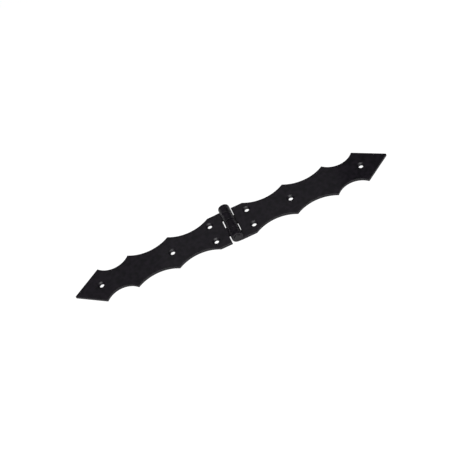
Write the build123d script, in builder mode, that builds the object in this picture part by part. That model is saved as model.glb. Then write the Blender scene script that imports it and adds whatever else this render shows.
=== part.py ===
from build123d import *

import os
from math import acos, asin, atan2, cos, degrees, hypot, isclose, radians, sin, tan

# A strap hinge for a gate. Two equal leaves of flat steel, scalloped and pointed like
# an arrow, each with two tabs rolled into knuckles, turn on one pin with riveted ends.
# The pin runs along Y, the leaves lie along X, and their backs lie on Z = 0.

# Sheet and pin, in millimetres
sheet_thickness = 3.0
strap_width = 45.0
pin_diameter = 6.0
pin_clearance = 0.05  # radial, pin in the rolled bore
pin_head_diameter = 7.6  # riveted over at both ends
pin_head_height = 0.7
pin_head_round = 0.5
pin_end_play = 0.1  # head to the knuckle's end

# Outline of one leaf, along its centre line
root_length = 20.0  # pin axis to the first cusp, full width
scallop_length = 45.5  # cusp to cusp, twice
scallop_depth = 7.0
throat_length = 34.0  # last cusp to the barbs
throat_depth = 8.4
head_length = 30.4  # barbs to the point, before it is rounded
corner_round = 0.6  # cusps, barbs and point, in plan
edge_round = 0.4  # edges of the flat

# Rolled knuckles
middle_gap = 1.2  # between the two middle knuckles
knuckle_gap = 0.4  # between a middle and an outer knuckle
barrel_lift = 0.4  # barrel's underside above the leaf's back
edge_gap = 0.9  # barrel to the other leaf's edge
fold_setback = 2.65  # leaf's edge to the fold of its tab
fold_radius = 3.0  # inside the fold
seam_gap = 0.1  # end of the curl to its own leaf
rim_round = 0.3  # outer edges of the knuckles

# Countersunk screw holes
screw_hole_diameter = 5.0
countersink_diameter = 8.4
countersink_angle = 110
hole_setback = 1.0  # past the cusps, towards the point
pair_spacing = 22.8  # between the two root holes

# Places that follow from the sizes
bore_radius = pin_diameter / 2 + pin_clearance
barrel_radius = bore_radius + sheet_thickness
axis_height = barrel_lift + barrel_radius
leaf_edge = barrel_radius + edge_gap
half_width = strap_width / 2
first_cusp = root_length
second_cusp = first_cusp + scallop_length
third_cusp = second_cusp + scallop_length
barb = third_cusp + throat_length
tip = barb + head_length
knuckle_length = (strap_width - middle_gap - 2 * knuckle_gap) / 4
middle_knuckle = (middle_gap + knuckle_length) / 2  # middle of the pin to the knuckle's centre
outer_knuckle = middle_knuckle + knuckle_length + knuckle_gap
pin_grip = strap_width + 2 * pin_end_play  # between the heads

# The neck of a tab climbs from its fold and meets the barrel at a tangent.
fold_x = leaf_edge - fold_setback
middle_rise = axis_height - sheet_thickness / 2
middle_radius = bore_radius + sheet_thickness / 2
neck_angle = degrees(
    atan2(middle_rise, fold_x) - asin(middle_radius / hypot(fold_x, middle_rise))
)
neck_side = 270 - neck_angle
flat_end = fold_x + (fold_radius + sheet_thickness / 2) * tan(radians(neck_angle / 2))

# The curl closes on its own neck, its end cut to lie along the neck with a fine seam between.
seam_distance = bore_radius - seam_gap
angle_at_neck = neck_side - 360 + degrees(acos(seam_distance / barrel_radius))
angle_at_flat = degrees(asin((sheet_thickness + seam_gap - axis_height) / barrel_radius))
outer_end = max(angle_at_neck, angle_at_flat)
inner_end = neck_side - 360 + degrees(acos(seam_distance / bore_radius))


def around(centre, radius, angle):
    """Point at an angle in degrees on a circle about a centre."""
    return (centre[0] + radius * cos(radians(angle)), centre[1] + radius * sin(radians(angle)))


# Flat of one leaf, its point along +X
with BuildPart() as flat:
    with BuildSketch():
        with BuildLine():
            Polyline((leaf_edge, 0), (leaf_edge, half_width), (first_cusp, half_width))
            SagittaArc((first_cusp, half_width), (second_cusp, half_width), -scallop_depth)
            SagittaArc((second_cusp, half_width), (third_cusp, half_width), -scallop_depth)
            SagittaArc((third_cusp, half_width), (barb, half_width), -throat_depth)
            Line((barb, half_width), (tip, 0))
            mirror(about=Plane.XZ)
        make_face()
        fillet(vertices().filter_by_position(Axis.X, first_cusp, tip), corner_round)
    extrude(amount=sheet_thickness)
    fillet(faces().filter_by(Axis.Z).edges(), edge_round)
    with Locations(Plane.XY.offset(sheet_thickness)):
        with Locations(
            (first_cusp + hole_setback, pair_spacing / 2),
            (first_cusp + hole_setback, -pair_spacing / 2),
            (second_cusp + hole_setback, 0),
            (barb + hole_setback, 0),
        ):
            CounterSinkHole(
                screw_hole_diameter / 2,
                countersink_diameter / 2,
                counter_sink_angle=countersink_angle,
            )

# One rolled tab: flat, fold, neck and curl, centred on Y = 0
axis_point = (0, axis_height)
fold_point = (flat_end, sheet_thickness + fold_radius)
fold_outside = fold_radius + sheet_thickness
with BuildPart() as rolled_tab:
    with BuildSketch(Plane.XZ):
        with BuildLine():
            Line((leaf_edge + sheet_thickness, 0), (flat_end, 0))
            CenterArc(fold_point, fold_outside, 270, -neck_angle)
            Line(around(fold_point, fold_outside, neck_side), around(axis_point, barrel_radius, neck_side))
            CenterArc(axis_point, barrel_radius, neck_side, outer_end - neck_side)
            Line(around(axis_point, barrel_radius, outer_end), around(axis_point, bore_radius, inner_end))
            CenterArc(axis_point, bore_radius, inner_end, neck_side - inner_end)
            Line(around(axis_point, bore_radius, neck_side), around(fold_point, fold_radius, neck_side))
            CenterArc(fold_point, fold_radius, neck_side, neck_angle)
            Polyline(
                (flat_end, sheet_thickness),
                (leaf_edge + sheet_thickness, sheet_thickness),
                (leaf_edge + sheet_thickness, 0),
            )
        make_face()
    extrude(amount=knuckle_length / 2, both=True)
    end_arcs = faces().filter_by(Axis.Y).edges().filter_by(GeomType.CIRCLE)
    fillet(end_arcs.filter_by(lambda arc: isclose(arc.radius, barrel_radius)), rim_round)

# Right leaf: its tabs are the second and the fourth knuckle, counted from +Y.
with BuildPart() as right_leaf:
    add(flat.part)
    with Locations((0, middle_knuckle, 0), (0, -outer_knuckle, 0)):
        add(rolled_tab.part)

# Left leaf: the same pressing turned half round, so its tabs are the first and the third.
with BuildPart() as left_leaf:
    add(right_leaf.part, rotation=(0, 0, 180))

# Pin, its ends riveted over into low heads
with BuildPart(Plane.XZ.shift_origin((0, 0, axis_height))) as hinge_pin:
    Cylinder(pin_diameter / 2, pin_grip)
    head_offset = (pin_grip + pin_head_height) / 2
    with Locations((0, 0, head_offset), (0, 0, -head_offset)):
        Cylinder(pin_head_diameter / 2, pin_head_height)
    head_rims = edges().filter_by(GeomType.CIRCLE).sort_by(Axis.Y)
    fillet([head_rims[0], head_rims[-1]], pin_head_round)

right_leaf.part.label = "right_leaf"
left_leaf.part.label = "left_leaf"
hinge_pin.part.label = "hinge_pin"

os.makedirs("parts", exist_ok=True)
export_step(right_leaf.part, "parts/right_leaf.step")
export_step(left_leaf.part, "parts/left_leaf.step")
export_step(hinge_pin.part, "parts/hinge_pin.step")
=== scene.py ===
from math import cos, radians, sin

import bmesh
import bpy
from bpy.props import FloatProperty, FloatVectorProperty, PointerProperty
from bpy.types import Operator, Panel, PropertyGroup
from mathutils import Matrix, Vector


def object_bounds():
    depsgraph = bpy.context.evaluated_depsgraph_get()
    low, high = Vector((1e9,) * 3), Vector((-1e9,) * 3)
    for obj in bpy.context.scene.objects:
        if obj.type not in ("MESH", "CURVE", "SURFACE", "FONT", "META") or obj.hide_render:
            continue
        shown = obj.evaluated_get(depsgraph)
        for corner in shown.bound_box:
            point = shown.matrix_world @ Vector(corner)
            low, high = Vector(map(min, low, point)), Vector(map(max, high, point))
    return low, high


bl_info = {
    "name": "Gate Strap Hinge",
    "version": (1, 0, 0),
    "blender": (4, 5, 0),
    "location": "3D View > Sidebar > Gate Hinge",
    "description": "Coats a scalloped strap hinge in black powder coat and sets it on a white stage",
    "category": "Object",
}

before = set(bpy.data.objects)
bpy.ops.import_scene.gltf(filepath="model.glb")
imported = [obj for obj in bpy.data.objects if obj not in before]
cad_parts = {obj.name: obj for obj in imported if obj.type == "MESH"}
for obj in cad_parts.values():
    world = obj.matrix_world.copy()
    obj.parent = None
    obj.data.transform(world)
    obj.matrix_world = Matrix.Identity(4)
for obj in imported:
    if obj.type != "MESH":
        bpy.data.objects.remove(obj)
CAD_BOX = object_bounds()
STRAP_LENGTH = CAD_BOX[1].x - CAD_BOX[0].x
LEAF_NODES = ("left_leaf", "right_leaf")
PIN_NODE = "hinge_pin"
SHEET_THICKNESS = 0.003
HALF_WIDTH = max(corner[1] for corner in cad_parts["left_leaf"].bound_box)

# Limits between which each mask fades in
LEVEL_LIMITS = (0.90, 0.97)  # upward part of the normal, on flat faces
STEEP_LIMITS = (0.5, 0.2)  # upward part of the normal, on sheared edges and in the holes
END_LIMITS = (0.80, 0.95)  # part of the normal along the pin, on the barrel's ends
SHEET_LIMITS = (1.1 * SHEET_THICKNESS, 1.05 * SHEET_THICKNESS)  # height above the backs
OUTER_LIMITS = (0.98 * HALF_WIDTH, 0.99 * HALF_WIDTH)  # distance along the pin from its middle
PEEL_LIMITS = (0.35, 0.65)  # noise value, from the thick coat to the thin one
PATCH_LIMITS = (0.3, 0.7)  # noise value, from glossier to duller patches

# Noises of the coat
PEEL_DETAIL = 2.0
GRAIN_DETAIL = 2.0
STREAK_DETAIL = 1.0
PATCH_DETAIL = 3.0
STREAK_STRETCH = (1.0, 1.0, 0.1)  # shear marks run through the sheet
GRAIN_SHARE = 0.45  # height of a grain as a share of a dimple's
ROUGHNESS_SWING = 0.06  # glossier and duller patches, either side of the mean

# Floor, lamps and camera: places and sizes in metres, sensor in millimetres
FLOOR_SEGMENTS = 96
KEY_PLACE = (-0.15, -0.80, 1.30)
KEY_SIZE = (1.6, 0.8)
BACK_PANEL_PLACE = (0.050, 0.42, 0.46)
BACK_PANEL_SIZE = (0.33, 0.36)
SIDE_PANEL_PLACE = (-0.28, 0.42, 0.46)
SIDE_PANEL_SIZE = (0.36, 0.36)
SENSOR_WIDTH = 36.0
WHITE = (1.0, 1.0, 1.0, 1.0)


class GateHingeCoat(PropertyGroup):
    """Sizes and colours of the powder coat."""

    coat_colour: FloatVectorProperty(
        name="Coat Colour",
        description="Colour of the coat where it lies thick",
        subtype="COLOR",
        size=3,
        min=0.0,
        max=1.0,
        default=(0.0012, 0.0006, 0.0025),
    )
    thin_colour: FloatVectorProperty(
        name="Thin Coat Colour",
        description="Colour of the coat where it lies a little thinner",
        subtype="COLOR",
        size=3,
        min=0.0,
        max=1.0,
        default=(0.0076, 0.0052, 0.0094),
    )
    leaf_roughness: FloatProperty(
        name="Leaf Roughness",
        description="Roughness of the coat on the leaves",
        subtype="FACTOR",
        min=0.0,
        max=1.0,
        default=0.47,
    )
    pin_roughness: FloatProperty(
        name="Pin Roughness",
        description="Roughness of the coat on the pin's ends",
        subtype="FACTOR",
        min=0.0,
        max=1.0,
        default=0.40,
    )
    cut_roughness: FloatProperty(
        name="Cut Face Roughness",
        description="Roughness of the coat on sheared edges, in the screw holes and on the tabs' ends",
        subtype="FACTOR",
        min=0.0,
        max=1.0,
        default=0.52,
    )
    specular_level: FloatProperty(
        name="Specular Level",
        description="Strength of the coat's reflections",
        subtype="FACTOR",
        min=0.0,
        max=1.0,
        default=0.40,
    )
    skin_weight: FloatProperty(
        name="Skin Weight",
        description="Strength of the thin glossier skin that the coat cures with on flat faces",
        subtype="FACTOR",
        min=0.0,
        max=1.0,
        default=0.34,
    )
    skin_roughness: FloatProperty(
        name="Skin Roughness",
        description="Roughness of the skin",
        subtype="FACTOR",
        min=0.0,
        max=1.0,
        default=0.10,
    )
    peel_size: FloatProperty(
        name="Peel Size",
        description="Width of one dimple of the orange peel",
        subtype="DISTANCE",
        unit="LENGTH",
        default=0.0042,
    )
    grain_size: FloatProperty(
        name="Grain Size",
        description="Width of one grain of the coat",
        subtype="DISTANCE",
        unit="LENGTH",
        default=0.00032,
    )
    patch_size: FloatProperty(
        name="Patch Size",
        description="Width of the broad patches where the coat is glossier or duller",
        subtype="DISTANCE",
        unit="LENGTH",
        default=0.028,
    )
    relief: FloatProperty(
        name="Relief",
        description="Height of the coat's dimples and grains",
        subtype="DISTANCE",
        unit="LENGTH",
        precision=6,
        default=0.00006,
    )


class GateHingeStage(PropertyGroup):
    """Sizes and levels of the stage, the lamps and the camera."""

    floor_radius: FloatProperty(
        name="Floor Radius",
        description="Radius of the round table top under the hinge",
        subtype="DISTANCE",
        unit="LENGTH",
        default=2.0 * STRAP_LENGTH,
    )
    floor_drop: FloatProperty(
        name="Floor Drop",
        description="Gap between the hinge's back and the floor",
        subtype="DISTANCE",
        unit="LENGTH",
        precision=5,
        default=0.0002,
    )
    floor_tone: FloatProperty(
        name="Floor Tone",
        description="Share of light that the floor sends back",
        subtype="FACTOR",
        min=0.0,
        max=1.0,
        default=0.20,
    )
    floor_glow: FloatProperty(
        name="Floor Glow",
        description="Light added to the floor as the camera and reflections see it, so that it is white",
        default=0.90,
    )
    # distance over which a painted contact shadow darkens the floor's glow, as reflections see it
    contact_distance: FloatProperty(
        name="Contact Distance",
        description="How far from the hinge its reflections see the floor in shadow",
        subtype="DISTANCE",
        unit="LENGTH",
        default=0.012,
    )
    room_tone: FloatProperty(
        name="Room Tone",
        description="Brightness of the dim room",
        default=0.03,
    )
    backdrop_top: FloatProperty(
        name="Backdrop Top",
        description="Angle from the horizon up to which reflections see the white backdrop",
        subtype="ANGLE",
        unit="ROTATION",
        default=radians(-1.0),
    )
    key_power: FloatProperty(
        name="Key Power",
        description="Power of the wide softbox on the camera's side",
        unit="POWER",
        default=28.0,
    )
    panel_power: FloatProperty(
        name="Panel Power",
        description="Power of the dim panel behind the hinge, which the leaves' faces mirror",
        unit="POWER",
        default=0.088,
    )
    side_panel_power: FloatProperty(
        name="Side Panel Power",
        description="Power of the dimmer panel beside it, behind the left leaf",
        unit="POWER",
        default=0.050,
    )
    camera_aim: FloatVectorProperty(
        name="Camera Aim",
        description="Point that the camera looks at",
        subtype="TRANSLATION",
        unit="LENGTH",
        size=3,
        default=(-0.0059, 0.0064, 0.0),
    )
    camera_distance: FloatProperty(
        name="Camera Distance",
        description="Distance from the camera to its aim",
        subtype="DISTANCE",
        unit="LENGTH",
        default=0.9513,
    )
    camera_azimuth: FloatProperty(
        name="Camera Azimuth",
        description="Turn of the view from +Y towards +X",
        subtype="ANGLE",
        unit="ROTATION",
        default=radians(1.80),
    )
    camera_elevation: FloatProperty(
        name="Camera Elevation",
        description="Height of the camera above the floor, as an angle",
        subtype="ANGLE",
        unit="ROTATION",
        default=radians(46.88),
    )
    camera_roll: FloatProperty(
        name="Camera Roll",
        description="Clockwise tilt of the camera, which lifts the right leaf in the picture",
        subtype="ANGLE",
        unit="ROTATION",
        default=radians(23.42),
    )
    camera_lens: FloatProperty(
        name="Camera Lens",
        description="Focal length in millimetres",
        unit="CAMERA",
        default=73.9,
    )


def math_of(tree, operation, *values):
    """Output of a math node that takes other nodes' outputs or plain numbers."""
    node = tree.nodes.new("ShaderNodeMath")
    node.operation = operation
    for socket, value in zip(node.inputs, values):
        if isinstance(value, bpy.types.NodeSocket):
            tree.links.new(value, socket)
        else:
            socket.default_value = value
    return node.outputs["Value"]


def fade(tree, value, limits):
    """Output of a node that rises from 0 to 1 while a value goes from the first limit to the second."""
    start, stop = limits
    ramp = tree.nodes.new("ShaderNodeMapRange")
    ramp.inputs["From Min"].default_value = start
    ramp.inputs["From Max"].default_value = stop
    tree.links.new(value, ramp.inputs["Value"])
    return ramp.outputs["Result"]


def between(tree, value, first, second):
    """Output of a node that goes from the first number to the second while a value goes from 0 to 1."""
    ramp = tree.nodes.new("ShaderNodeMapRange")
    ramp.inputs["To Min"].default_value = first
    ramp.inputs["To Max"].default_value = second
    tree.links.new(value, ramp.inputs["Value"])
    return ramp.outputs["Result"]


def noise_of(tree, vector, width, detail):
    """Output of a noise whose features are as wide as the given socket's value."""
    noise = tree.nodes.new("ShaderNodeTexNoise")
    noise.inputs["Detail"].default_value = detail
    tree.links.new(math_of(tree, "DIVIDE", 1.0, width), noise.inputs["Scale"])
    tree.links.new(vector, noise.inputs["Vector"])
    return noise.outputs["Fac"]


def face_masks(group, place):
    """Masks of the flat faces, and of the sheared edges, hole walls and barrel ends."""
    facing = group.nodes.new("ShaderNodeSeparateXYZ")
    spot = group.nodes.new("ShaderNodeSeparateXYZ")
    group.links.new(place.outputs["Normal"], facing.inputs["Vector"])
    group.links.new(place.outputs["Object"], spot.inputs["Vector"])
    upward = math_of(group, "ABSOLUTE", facing.outputs["Z"])
    along_pin = math_of(group, "ABSOLUTE", facing.outputs["Y"])
    from_middle = math_of(group, "ABSOLUTE", spot.outputs["Y"])
    in_sheet = fade(group, spot.outputs["Z"], SHEET_LIMITS)
    outermost = fade(group, from_middle, OUTER_LIMITS)
    flat = math_of(group, "MULTIPLY", fade(group, upward, LEVEL_LIMITS), in_sheet)
    edges = math_of(group, "MULTIPLY", fade(group, upward, STEEP_LIMITS), in_sheet)
    ends = math_of(group, "MULTIPLY", fade(group, along_pin, END_LIMITS), outermost)
    return flat, math_of(group, "MAXIMUM", edges, ends)


def coat_surface_group():
    """Node group for the coat's relief as a height, and masks of its mottle, patches and kinds of face."""
    group = bpy.data.node_groups.new("coat_surface", "ShaderNodeTree")
    for name in ("Peel Size", "Grain Size", "Patch Size"):
        group.interface.new_socket(name, in_out="INPUT", socket_type="NodeSocketFloat")
    for name in ("Height", "Mottle", "Patches", "Flat Faces", "Cut Faces"):
        group.interface.new_socket(name, in_out="OUTPUT", socket_type="NodeSocketFloat")
    nodes = group.nodes
    links = group.links
    sizes = nodes.new("NodeGroupInput")
    result = nodes.new("NodeGroupOutput")
    place = nodes.new("ShaderNodeTexCoord")
    stretched = nodes.new("ShaderNodeMapping")
    stretched.inputs["Scale"].default_value = STREAK_STRETCH
    links.new(place.outputs["Object"], stretched.inputs["Vector"])

    flat, cut = face_masks(group, place)
    peel = noise_of(group, place.outputs["Object"], sizes.outputs["Peel Size"], PEEL_DETAIL)
    grain = noise_of(group, place.outputs["Object"], sizes.outputs["Grain Size"], GRAIN_DETAIL)
    streaks = noise_of(group, stretched.outputs["Vector"], sizes.outputs["Grain Size"], STREAK_DETAIL)
    patches = noise_of(group, place.outputs["Object"], sizes.outputs["Patch Size"], PATCH_DETAIL)
    marked = math_of(group, "MULTIPLY_ADD", cut, streaks, peel)
    height = math_of(group, "MULTIPLY_ADD", grain, GRAIN_SHARE, marked)
    links.new(height, result.inputs["Height"])
    links.new(fade(group, peel, PEEL_LIMITS), result.inputs["Mottle"])
    links.new(fade(group, patches, PATCH_LIMITS), result.inputs["Patches"])
    links.new(flat, result.inputs["Flat Faces"])
    links.new(cut, result.inputs["Cut Faces"])
    return group


def powder_coat(name, settings, roughness):
    """Black powder coat: grain over orange peel, with a glossier skin on flat faces and dull cut faces."""
    material = bpy.data.materials.new(name)
    material.use_nodes = True
    tree = material.node_tree
    nodes = tree.nodes
    links = tree.links
    shader = nodes["Principled BSDF"]
    shader.inputs["Specular IOR Level"].default_value = settings.specular_level
    shader.inputs["Coat Roughness"].default_value = settings.skin_roughness
    surface = nodes.new("ShaderNodeGroup")
    surface.node_tree = bpy.data.node_groups.get("coat_surface") or coat_surface_group()
    surface.inputs["Peel Size"].default_value = settings.peel_size
    surface.inputs["Grain Size"].default_value = settings.grain_size
    surface.inputs["Patch Size"].default_value = settings.patch_size

    tint = nodes.new("ShaderNodeMix")
    tint.data_type = "RGBA"
    tint.inputs["A"].default_value = (*settings.coat_colour, 1.0)
    tint.inputs["B"].default_value = (*settings.thin_colour, 1.0)
    links.new(surface.outputs["Mottle"], tint.inputs["Factor"])
    links.new(tint.outputs["Result"], shader.inputs["Base Color"])

    glossiest = roughness - ROUGHNESS_SWING
    dullest = roughness + ROUGHNESS_SWING
    sheen = between(tree, surface.outputs["Patches"], glossiest, dullest)
    dulled = nodes.new("ShaderNodeMix")
    dulled.inputs["B"].default_value = settings.cut_roughness
    links.new(surface.outputs["Cut Faces"], dulled.inputs["Factor"])
    links.new(sheen, dulled.inputs["A"])
    links.new(dulled.outputs["Result"], shader.inputs["Roughness"])

    skin = between(tree, surface.outputs["Flat Faces"], 0.0, settings.skin_weight)
    links.new(skin, shader.inputs["Coat Weight"])

    bump = nodes.new("ShaderNodeBump")
    bump.inputs["Strength"].default_value = 1.0
    bump.inputs["Distance"].default_value = settings.relief
    links.new(surface.outputs["Height"], bump.inputs["Height"])
    links.new(bump.outputs["Normal"], shader.inputs["Normal"])
    return material


def paint(node_name, material):
    """Gives a node of the frame its finish."""
    for material_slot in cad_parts[node_name].material_slots:
        material_slot.material = material


class GATEHINGE_OT_coat_leaves(Operator):
    """Coat both leaves in black powder coat"""

    bl_idname = "gate_hinge.coat_leaves"
    bl_label = "Coat Leaves"

    def execute(self, context):
        settings = context.scene.gate_hinge_coat
        coat = powder_coat("leaf_powder_coat", settings, settings.leaf_roughness)
        for node_name in LEAF_NODES:
            paint(node_name, coat)
        return {"FINISHED"}


class GATEHINGE_OT_coat_pin(Operator):
    """Coat the hinge pin"""

    bl_idname = "gate_hinge.coat_pin"
    bl_label = "Coat Pin"

    def execute(self, context):
        settings = context.scene.gate_hinge_coat
        paint(PIN_NODE, powder_coat("pin_powder_coat", settings, settings.pin_roughness))
        return {"FINISHED"}


def seen_as_white(tree, in_reflections):
    """Output that is 1 for what the camera or glass sees, and a given share for what a gloss mirrors."""
    rays = tree.nodes.new("ShaderNodeLightPath")
    direct = math_of(tree, "MAXIMUM", rays.outputs["Is Camera Ray"], rays.outputs["Is Transmission Ray"])
    mirrored = math_of(tree, "MULTIPLY", rays.outputs["Is Glossy Ray"], in_reflections)
    return math_of(tree, "MAXIMUM", direct, mirrored)


def stage_white(settings):
    """Table white: takes the hinge's shadow from the lamps, and looks white to the camera and in
    reflections, where its glow carries a painted contact shadow near the hinge.
    """
    material = bpy.data.materials.new("stage_white")
    material.use_nodes = True
    tree = material.node_tree
    nodes = tree.nodes
    nodes.remove(nodes["Principled BSDF"])
    lit = nodes.new("ShaderNodeBsdfDiffuse")
    lit.inputs["Color"].default_value = (settings.floor_tone, settings.floor_tone, settings.floor_tone, 1.0)
    painted_shadow_ao = nodes.new("ShaderNodeAmbientOcclusion")
    painted_shadow_ao.inputs["Distance"].default_value = settings.contact_distance
    # painted contact shadow: in reflections the glow is scaled by ambient occlusion, so it is darker close
    # to the hinge
    level = between(tree, seen_as_white(tree, painted_shadow_ao.outputs["AO"]), 0.0, settings.floor_glow)
    glow = nodes.new("ShaderNodeEmission")
    both = nodes.new("ShaderNodeAddShader")
    tree.links.new(level, glow.inputs["Strength"])
    tree.links.new(lit.outputs["BSDF"], both.inputs[0])
    tree.links.new(glow.outputs["Emission"], both.inputs[1])
    tree.links.new(both.outputs["Shader"], nodes["Material Output"].inputs["Surface"])
    return material


def add_floor(settings):
    """Round white table top just under the hinge."""
    mesh = bpy.data.meshes.new("stage_floor")
    work = bmesh.new()
    bmesh.ops.create_circle(work, cap_ends=True, segments=FLOOR_SEGMENTS, radius=settings.floor_radius)
    work.to_mesh(mesh)
    work.free()
    mesh.materials.append(stage_white(settings))
    floor = bpy.data.objects.new("stage_floor", mesh)
    floor.location.z = -settings.floor_drop
    bpy.context.scene.collection.objects.link(floor)


def add_softbox(name, place, size, power):
    """Rectangular area lamp that faces the middle of the hinge."""
    width, height = size
    lamp = bpy.data.lights.new(name, "AREA")
    lamp.shape = "RECTANGLE"
    lamp.size = width
    lamp.size_y = height
    lamp.energy = power
    softbox = bpy.data.objects.new(name, lamp)
    softbox.location = place
    softbox.rotation_euler = (-Vector(place)).to_track_quat("-Z", "Y").to_euler()
    bpy.context.scene.collection.objects.link(softbox)


def add_room(settings):
    """Dim room with a low white backdrop, which the camera sees as white all over."""
    world = bpy.data.worlds.new("room")
    world.use_nodes = True
    tree = world.node_tree
    nodes = tree.nodes
    direction = nodes.new("ShaderNodeTexCoord")
    split = nodes.new("ShaderNodeSeparateXYZ")
    tree.links.new(direction.outputs["Generated"], split.inputs["Vector"])
    low = math_of(tree, "LESS_THAN", split.outputs["Z"], sin(settings.backdrop_top))
    level = between(tree, seen_as_white(tree, low), settings.room_tone, 1.0)
    background = nodes["Background"]
    background.inputs["Color"].default_value = WHITE
    tree.links.new(level, background.inputs["Strength"])
    bpy.context.scene.world = world


def add_camera(settings):
    """Camera at the set angle, tilted about its own line of sight."""
    level = cos(settings.camera_elevation)
    forward = Vector(
        (
            level * sin(settings.camera_azimuth),
            level * cos(settings.camera_azimuth),
            -sin(settings.camera_elevation),
        )
    )
    level_right = forward.cross(Vector((0, 0, 1))).normalized()
    level_up = level_right.cross(forward)
    up = level_up * cos(settings.camera_roll) + level_right * sin(settings.camera_roll)
    right = forward.cross(up)
    turn = Matrix((right, up, -forward)).transposed().to_4x4()
    lens = bpy.data.cameras.new("camera")
    lens.lens = settings.camera_lens
    lens.sensor_width = SENSOR_WIDTH
    camera = bpy.data.objects.new("camera", lens)
    place = Vector(settings.camera_aim) - forward * settings.camera_distance
    camera.matrix_world = Matrix.Translation(place) @ turn
    bpy.context.scene.collection.objects.link(camera)
    bpy.context.scene.camera = camera


class GATEHINGE_OT_set_stage(Operator):
    """Set the floor, the lamps and the camera"""

    bl_idname = "gate_hinge.set_stage"
    bl_label = "Set Stage"

    def execute(self, context):
        settings = context.scene.gate_hinge_stage
        context.scene.view_settings.view_transform = "Standard"
        add_floor(settings)
        add_room(settings)
        add_softbox("key_softbox", KEY_PLACE, KEY_SIZE, settings.key_power)
        add_softbox("back_panel", BACK_PANEL_PLACE, BACK_PANEL_SIZE, settings.panel_power)
        add_softbox("side_panel", SIDE_PANEL_PLACE, SIDE_PANEL_SIZE, settings.side_panel_power)
        add_camera(settings)
        return {"FINISHED"}


class GATEHINGE_PT_panel(Panel):
    """Lists the hinge's finishes and the stage"""

    bl_idname = "GATEHINGE_PT_panel"
    bl_label = "Gate Hinge"
    bl_space_type = "VIEW_3D"
    bl_region_type = "UI"
    bl_category = "Gate Hinge"

    def draw(self, context):
        layout = self.layout
        for settings in (context.scene.gate_hinge_coat, context.scene.gate_hinge_stage):
            box = layout.box()
            for name in settings.bl_rna.properties.keys():
                if name not in ("rna_type", "name"):
                    box.prop(settings, name)
        for operator in OPERATORS:
            layout.operator(operator.bl_idname)


SETTINGS = {"gate_hinge_coat": GateHingeCoat, "gate_hinge_stage": GateHingeStage}
OPERATORS = (GATEHINGE_OT_coat_leaves, GATEHINGE_OT_coat_pin, GATEHINGE_OT_set_stage)
CLASSES = (*SETTINGS.values(), *OPERATORS, GATEHINGE_PT_panel)


def register():
    for cls in CLASSES:
        bpy.utils.register_class(cls)
    for name, group in SETTINGS.items():
        setattr(bpy.types.Scene, name, PointerProperty(type=group))


def unregister():
    for name in SETTINGS:
        delattr(bpy.types.Scene, name)
    for cls in reversed(CLASSES):
        bpy.utils.unregister_class(cls)


def main():
    """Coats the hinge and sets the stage."""
    register()
    bpy.ops.gate_hinge.coat_leaves()
    bpy.ops.gate_hinge.coat_pin()
    bpy.ops.gate_hinge.set_stage()


if __name__ == "__main__":
    main()
